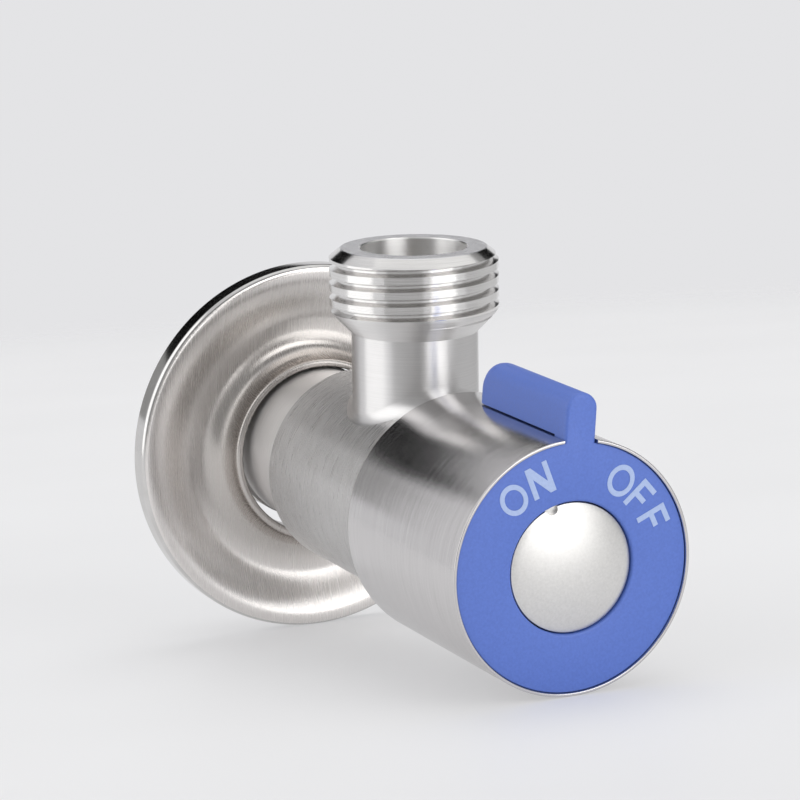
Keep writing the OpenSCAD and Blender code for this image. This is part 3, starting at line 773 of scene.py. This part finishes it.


# scale: how quickly the strokes change along X, Y and Z; depth: how deep they are;
# dark and light: the metal's two shades; across and stretch: where highlights spread, and how far;
# the flange's painted-shade radii: the two radii, in millimetres, between which its painted shade changes,
# darker towards the middle for the shade round the collar
steels = {
    "barrel": {"scale": (300, 8000, 300), "depth": 0.12, "roughness": (0.24, 0.34),
               "dark": (0.5, 0.49, 0.485), "light": (0.63, 0.62, 0.615),
               "across": (0, 1, 0), "stretch": 0.85},
    "neck": {"scale": (120, 120, 9000), "depth": 0.12, "roughness": (0.34, 0.42),
             "dark": (0.76, 0.75, 0.745), "light": (0.84, 0.83, 0.825),
             "across": (0, 0, 1), "stretch": 1.0},
    # painted light: the bore inside the outlet is given the palest shade of the casting, standing in for
    # light reaching down into it
    "bore": {"scale": (120, 120, 9000), "depth": 0.2, "roughness": (0.34, 0.4),
             "dark": (0.9, 0.89, 0.88), "light": (0.97, 0.96, 0.95),
             "across": (0, 0, 1), "stretch": 1.0},
    # painted shade: the flange's dark shade is laid on its middle, for the shade round the collar
    "flange": {"scale": (9000, 200, 150), "depth": 0.1, "roughness": (0.22, 0.3),
               "dark": (0.5, 0.47, 0.445), "light": (0.86, 0.83, 0.81),
               "across": (1, 0, 0), "stretch": 0.6, "paintedShadeRadii": (12.5, 21.5)},
    "rim": {"scale": (300, 300, 300), "depth": 0.02, "roughness": (0.1, 0.15),
            "dark": (0.6, 0.59, 0.58), "light": (0.68, 0.67, 0.66)},
    # painted light: the shank is given a paler shade than the barrel of the same casting, standing in for
    # the light it catches beside the flange's collar
    "shank": {"scale": (300, 8000, 300), "depth": 0.1, "roughness": (0.32, 0.4),
              "dark": (0.78, 0.765, 0.755), "light": (0.88, 0.865, 0.855),
              "across": (0, 1, 0), "stretch": 0.8},
    "face": {"scale": (900, 900, 900), "depth": 0.01, "roughness": (0.2, 0.28),
             "dark": (0.7, 0.695, 0.71), "light": (0.77, 0.765, 0.78)},
    "thread": {"scale": (120, 120, 9000), "depth": 0.06, "roughness": (0.16, 0.22),
               "dark": (0.7, 0.69, 0.68), "light": (0.8, 0.79, 0.78),
               "across": (0, 0, 1), "stretch": 0.85},
    "sleeve": {"scale": (120, 9000, 120), "depth": 0.09, "roughness": (0.15, 0.2),
               "dark": (0.58, 0.565, 0.565), "light": (0.67, 0.655, 0.655),
               "across": (0, 1, 0), "stretch": 0.3},
    "cap": {"scale": (3000, 3000, 3000), "depth": 0.03, "roughness": (0.33, 0.41),
            "dark": (0.7, 0.69, 0.67), "light": (0.78, 0.77, 0.75)},
    "fixing": {"scale": (2500, 2500, 2500), "depth": 0.03, "roughness": (0.22, 0.32),
               "dark": (0.5, 0.5, 0.5), "light": (0.62, 0.62, 0.62)},
}
finishes = {name: brushedSteel(name + "Steel", **values) for name, values in steels.items()}


def moulded(name, dark, light, roughness, grain, depth, metallic=0.0):
    made, tree, shader = startMaterial(name)
    shader.inputs["Metallic"].default_value = metallic
    noise = addNode(tree, "ShaderNodeTexNoise")
    noise.inputs["Scale"].default_value = grain
    noise.inputs["Detail"].default_value = 3.0
    coordinates = addNode(tree, "ShaderNodeTexCoord")
    tree.links.new(coordinates.outputs["Object"], noise.inputs["Vector"])
    tree.links.new(ramp(tree, noise.outputs["Fac"], dark, light), shader.inputs["Base Color"])
    tree.links.new(spread(tree, noise.outputs["Fac"], *roughness), shader.inputs["Roughness"])
    bump = addNode(tree, "ShaderNodeBump")
    bump.inputs["Distance"].default_value = 0.00004
    bump.inputs["Strength"].default_value = depth
    tree.links.new(noise.outputs["Fac"], bump.inputs["Height"])
    tree.links.new(bump.outputs["Normal"], shader.inputs["Normal"])
    return made


# material's name, dark and light shade, roughness, the grain's fineness and depth, and how metallic it is
mouldings = {
    "blue": ("bluePlastic", (0.08, 0.15, 0.505), (0.093, 0.172, 0.56), (0.42, 0.55), 3500, 0.25),
    "letters": ("letterInk", (0.35, 0.45, 0.7), (0.4, 0.5, 0.76), (0.5, 0.6), 3000, 0.1),
    "core": ("coreGrey", (0.14, 0.15, 0.16), (0.18, 0.19, 0.2), (0.45, 0.6), 2500, 0.2),
    "brass": ("turnedBrass", (0.6, 0.42, 0.17), (0.72, 0.52, 0.24), (0.25, 0.38), 1800, 0.1, 1.0),
    "ceramic": ("lappedCeramic", (0.8, 0.78, 0.72), (0.87, 0.85, 0.8), (0.15, 0.25), 1500, 0.05),
    "acetal": ("turnedAcetal", (0.75, 0.72, 0.6), (0.82, 0.79, 0.68), (0.35, 0.45), 1500, 0.1),
    "rubber": ("sealRubber", (0.012, 0.012, 0.012), (0.025, 0.025, 0.026), (0.35, 0.5), 2500, 0.15),
}
for name, values in mouldings.items():
    finishes[name] = moulded(*values)

castingFinishes = ("barrel", "neck", "bore", "thread", "shank", "face")


def castingFinish(c):
    # number of the finish that a face with this middle takes, in the order of castingFinishes
    fromInlet = math.hypot(c.x, c.z)
    fromOutlet = math.hypot(c.x, c.y - outletMiddle[1])
    top, bore = casting["outletTop"], casting["outletBore"] + casting["boreEdge"]
    onInlet = c.y > casting["blankStart"] - 0.1
    aboveBarrel = (c.z > casting["neckStart"] - 0.1 and fromInlet > casting["barrelRadius"] + 0.01
                   and fromOutlet < casting["outletReach"])
    name = "neck" if aboveBarrel or onInlet else "barrel"
    # faces inside the outlet's bore take the shade painted pale for the light reaching into it
    if fromOutlet < bore and casting["boreFloor"] + 0.02 < c.z < top - 0.01:
        name = "bore"
    elif aboveBarrel and c.z > top - 0.08:
        name = "face"
    elif aboveBarrel and c.z > casting["coneEnd"] - 0.1:
        name = "thread"
    # faces on the shank take the shade painted paler for the light beside the collar
    elif c.y > casting["barrelBack"] and not onInlet and fromInlet < casting["shankRadius"] + 0.3:
        name = "shank"
    return castingFinishes.index(name)


dress(valveCasting, *(finishes[name] for name in castingFinishes))
for face in valveCasting.data.polygons:
    face.material_index = castingFinish(face.center / mm)
dress(wallFlange, finishes["flange"], finishes["rim"])
polishedFrom = flange["radius"] - flange["polishedBand"]
for face in wallFlange.data.polygons:
    c = face.center / mm
    face.material_index = 1 if math.hypot(c.x, c.z + flange["drop"]) > polishedFrom else 0
dress(handleSleeve, finishes["sleeve"])
dress(ringPiece, finishes["blue"])
dress(letterPiece, finishes["letters"])
dress(centreCap, finishes["cap"])
innerFinish = {
    "cartridge_housing": "brass", "spindle": "brass", "stop_washer": "brass",
    "housing_seal": "rubber", "front_seal": "rubber", "rear_seal": "rubber", "seat_seal": "rubber",
    "thrust_washer": "acetal", "snap_ring": "fixing", "drive_disc": "ceramic", "fixed_disc": "ceramic",
    "handle_core": "core", "handle_screw": "fixing", "screw_washer": "fixing",
}
for node, finish in innerFinish.items():
    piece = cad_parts[node]
    if not piece.data.materials:
        piece.data.materials.append(finishes[finish])
    for slotNumber in range(len(piece.material_slots)):
        piece.material_slots[slotNumber].material = finishes[finish]
print("materials made")


# floor, lamps, cards and backdrop

studio = {
    "floorPoint": (0.0, -0.0023, -0.02495),
    "floorSlope": -0.13,
    "floorColour": (0.46, 0.46, 0.465),
    "floorGrain": 0.012,  # how much its shade wanders up and down
    "floorGlow": 0.36,
    "fadeMiddle": (0.05, 0.2, 0.0),
    "fadeStart": 0.28,
    "fadeEnd": 0.46,
    "background": (0.775, 0.775, 0.79),
    "fill": 0.74,
    "middle": (0, -0.035, 0),
}

# each lamp: direction in degrees from +Y towards +X, height in degrees,
# distance, width and height in metres, watts
lamps = {
    "topLamp": (30, 64, 0.8, 0.75, 0.5, 1.5),
    "leftLamp": (-74, 18, 0.8, 0.6, 0.85, 1.0),
    "frontLamp": (160, 20, 0.8, 0.52, 0.5, 2.2),
}

# each card: the same first five numbers, then its brightness
cards = {
    "backCard": (17.5, 28, 0.9, 1.65, 0.38, 0.005),
    "lowCard": (-18, 8, 0.88, 0.42, 0.26, 0.36),
    "topCard": (48, 66, 0.8, 0.85, 0.66, 1.0),
    "leftCard": (-76, 22, 0.8, 0.72, 1.2, 1.65),
    "frontCard": (164, 12, 0.8, 0.53, 0.62, 2.3),
    "upperCard": (159, 47, 0.7, 0.52, 0.24, 2.4),
    "highCard": (165, 56, 1.0, 1.3, 0.8, 0.3),
    "roomCard": (-141, 14, 1.2, 1.3, 2.2, 0.34),
    "rightCard": (92, 16, 1.0, 1.7, 1.9, 0.34),
}


def makeFloor(values):
    deselectAll()
    bpy.ops.mesh.primitive_grid_add(x_subdivisions=8, y_subdivisions=8, size=4.0, location=(0, 0, 0))
    floor = named("floor")
    turn = Matrix.Rotation(math.atan(values["floorSlope"]), 4, "X")
    floor.data.transform(Matrix.Translation(Vector(values["floorPoint"])) @ turn)
    made, tree, shader = startMaterial("floorPaper")
    shader.inputs["Roughness"].default_value = 0.55
    shader.inputs["Specular IOR Level"].default_value = 0.25
    # a little light comes up through the paper, as from a light table, and thins the shadow
    shader.inputs["Emission Color"].default_value = (0.985, 0.985, 1, 1)
    shader.inputs["Emission Strength"].default_value = values["floorGlow"]
    noise = addNode(tree, "ShaderNodeTexNoise")
    noise.inputs["Scale"].default_value = 12
    tree.links.new(stretched(tree, (1, 1, 1)), noise.inputs["Vector"])
    dark = [c - values["floorGrain"] for c in values["floorColour"]]
    light = [c + values["floorGrain"] for c in values["floorColour"]]
    tree.links.new(ramp(tree, noise.outputs["Fac"], dark, light), shader.inputs["Base Color"])
    # the floor thins out into the backdrop, so no edge of it shows
    clear = addNode(tree, "ShaderNodeBsdfTransparent")
    mix = addNode(tree, "ShaderNodeMixShader")
    outward = addNode(tree, "ShaderNodeVectorMath", operation="DISTANCE")
    tree.links.new(stretched(tree, (1, 1, 1)), outward.inputs[0])
    outward.inputs[1].default_value = values["fadeMiddle"]
    fade = addNode(tree, "ShaderNodeMapRange", interpolation_type="SMOOTHSTEP")
    fade.inputs["From Min"].default_value = values["fadeStart"]
    fade.inputs["From Max"].default_value = values["fadeEnd"]
    tree.links.new(outward.outputs["Value"], fade.inputs["Value"])
    tree.links.new(fade.outputs["Result"], mix.inputs["Fac"])
    tree.links.new(shader.outputs["BSDF"], mix.inputs[1])
    tree.links.new(clear.outputs["BSDF"], mix.inputs[2])
    tree.links.new(mix.outputs["Shader"], tree.nodes["Material Output"].inputs["Surface"])
    dress(floor, made)


def makeWorld(values):
    # camera and reflections see the background's colour, and the rest is lit by a plain white fill
    world = bpy.data.worlds.new("studioWorld")
    bpy.context.scene.world = world
    world.use_nodes = True
    tree = world.node_tree
    tree.nodes.clear()
    out = tree.nodes.new("ShaderNodeOutputWorld")
    seen = tree.nodes.new("ShaderNodeBackground")
    seen.inputs["Color"].default_value = (*values["background"], 1)
    light = tree.nodes.new("ShaderNodeBackground")
    light.inputs["Color"].default_value = (1, 1, 1, 1)
    light.inputs["Strength"].default_value = values["fill"]
    path = tree.nodes.new("ShaderNodeLightPath")
    first = addNode(tree, "ShaderNodeMath", operation="MAXIMUM")
    second = addNode(tree, "ShaderNodeMath", operation="MAXIMUM")
    tree.links.new(path.outputs["Is Camera Ray"], first.inputs[0])
    tree.links.new(path.outputs["Is Glossy Ray"], first.inputs[1])
    tree.links.new(first.outputs["Value"], second.inputs[0])
    tree.links.new(path.outputs["Is Transmission Ray"], second.inputs[1])
    mix = tree.nodes.new("ShaderNodeMixShader")
    tree.links.new(second.outputs["Value"], mix.inputs["Fac"])
    tree.links.new(light.outputs["Background"], mix.inputs[1])
    tree.links.new(seen.outputs["Background"], mix.inputs[2])
    tree.links.new(mix.outputs["Shader"], out.inputs["Surface"])


def placeRound(azimuth, height, distance):
    # a place round the object, and the turn that faces its middle
    a, e = math.radians(azimuth), math.radians(height)
    way = Vector((math.sin(a) * math.cos(e), math.cos(a) * math.cos(e), math.sin(e)))
    return Vector(studio["middle"]) + way * distance, (-way).to_track_quat("-Z", "Y")


def addLamp(name, azimuth, height, distance, width, tall, power):
    data = bpy.data.lights.new(name, "AREA")
    data.shape = "RECTANGLE"
    data.size, data.size_y = width, tall
    data.energy = power
    lamp = bpy.data.objects.new(name, data)
    bpy.context.scene.collection.objects.link(lamp)
    lamp.location, turn = placeRound(azimuth, height, distance)
    lamp.rotation_mode = "QUATERNION"
    lamp.rotation_quaternion = turn
    lamp.visible_glossy = False  # the cards are what the metal reflects


def addCard(name, azimuth, height, distance, width, tall, brightness):
    # a card is seen only in the metal's reflections
    deselectAll()
    bpy.ops.mesh.primitive_plane_add(size=1, location=(0, 0, 0))
    card = named(name)
    place, turn = placeRound(azimuth, height, distance)
    size = Matrix.Diagonal((width, tall, 1, 1))
    card.data.transform(Matrix.Translation(place) @ turn.to_matrix().to_4x4() @ size)
    made, tree, shader = startMaterial(name + "Paper")
    shader.inputs["Base Color"].default_value = (0, 0, 0, 1)
    shader.inputs["Specular IOR Level"].default_value = 0.0
    shader.inputs["Emission Color"].default_value = (1, 1, 1, 1)
    shader.inputs["Emission Strength"].default_value = brightness
    dress(card, made)
    card.visible_camera = False
    card.visible_diffuse = False
    card.visible_shadow = False


makeFloor(studio)
makeWorld(studio)
for name, values in lamps.items():
    addLamp(name, *values)
for name, values in cards.items():
    addCard(name, *values)
bpy.context.scene.view_settings.view_transform = "Standard"
print("studio made")
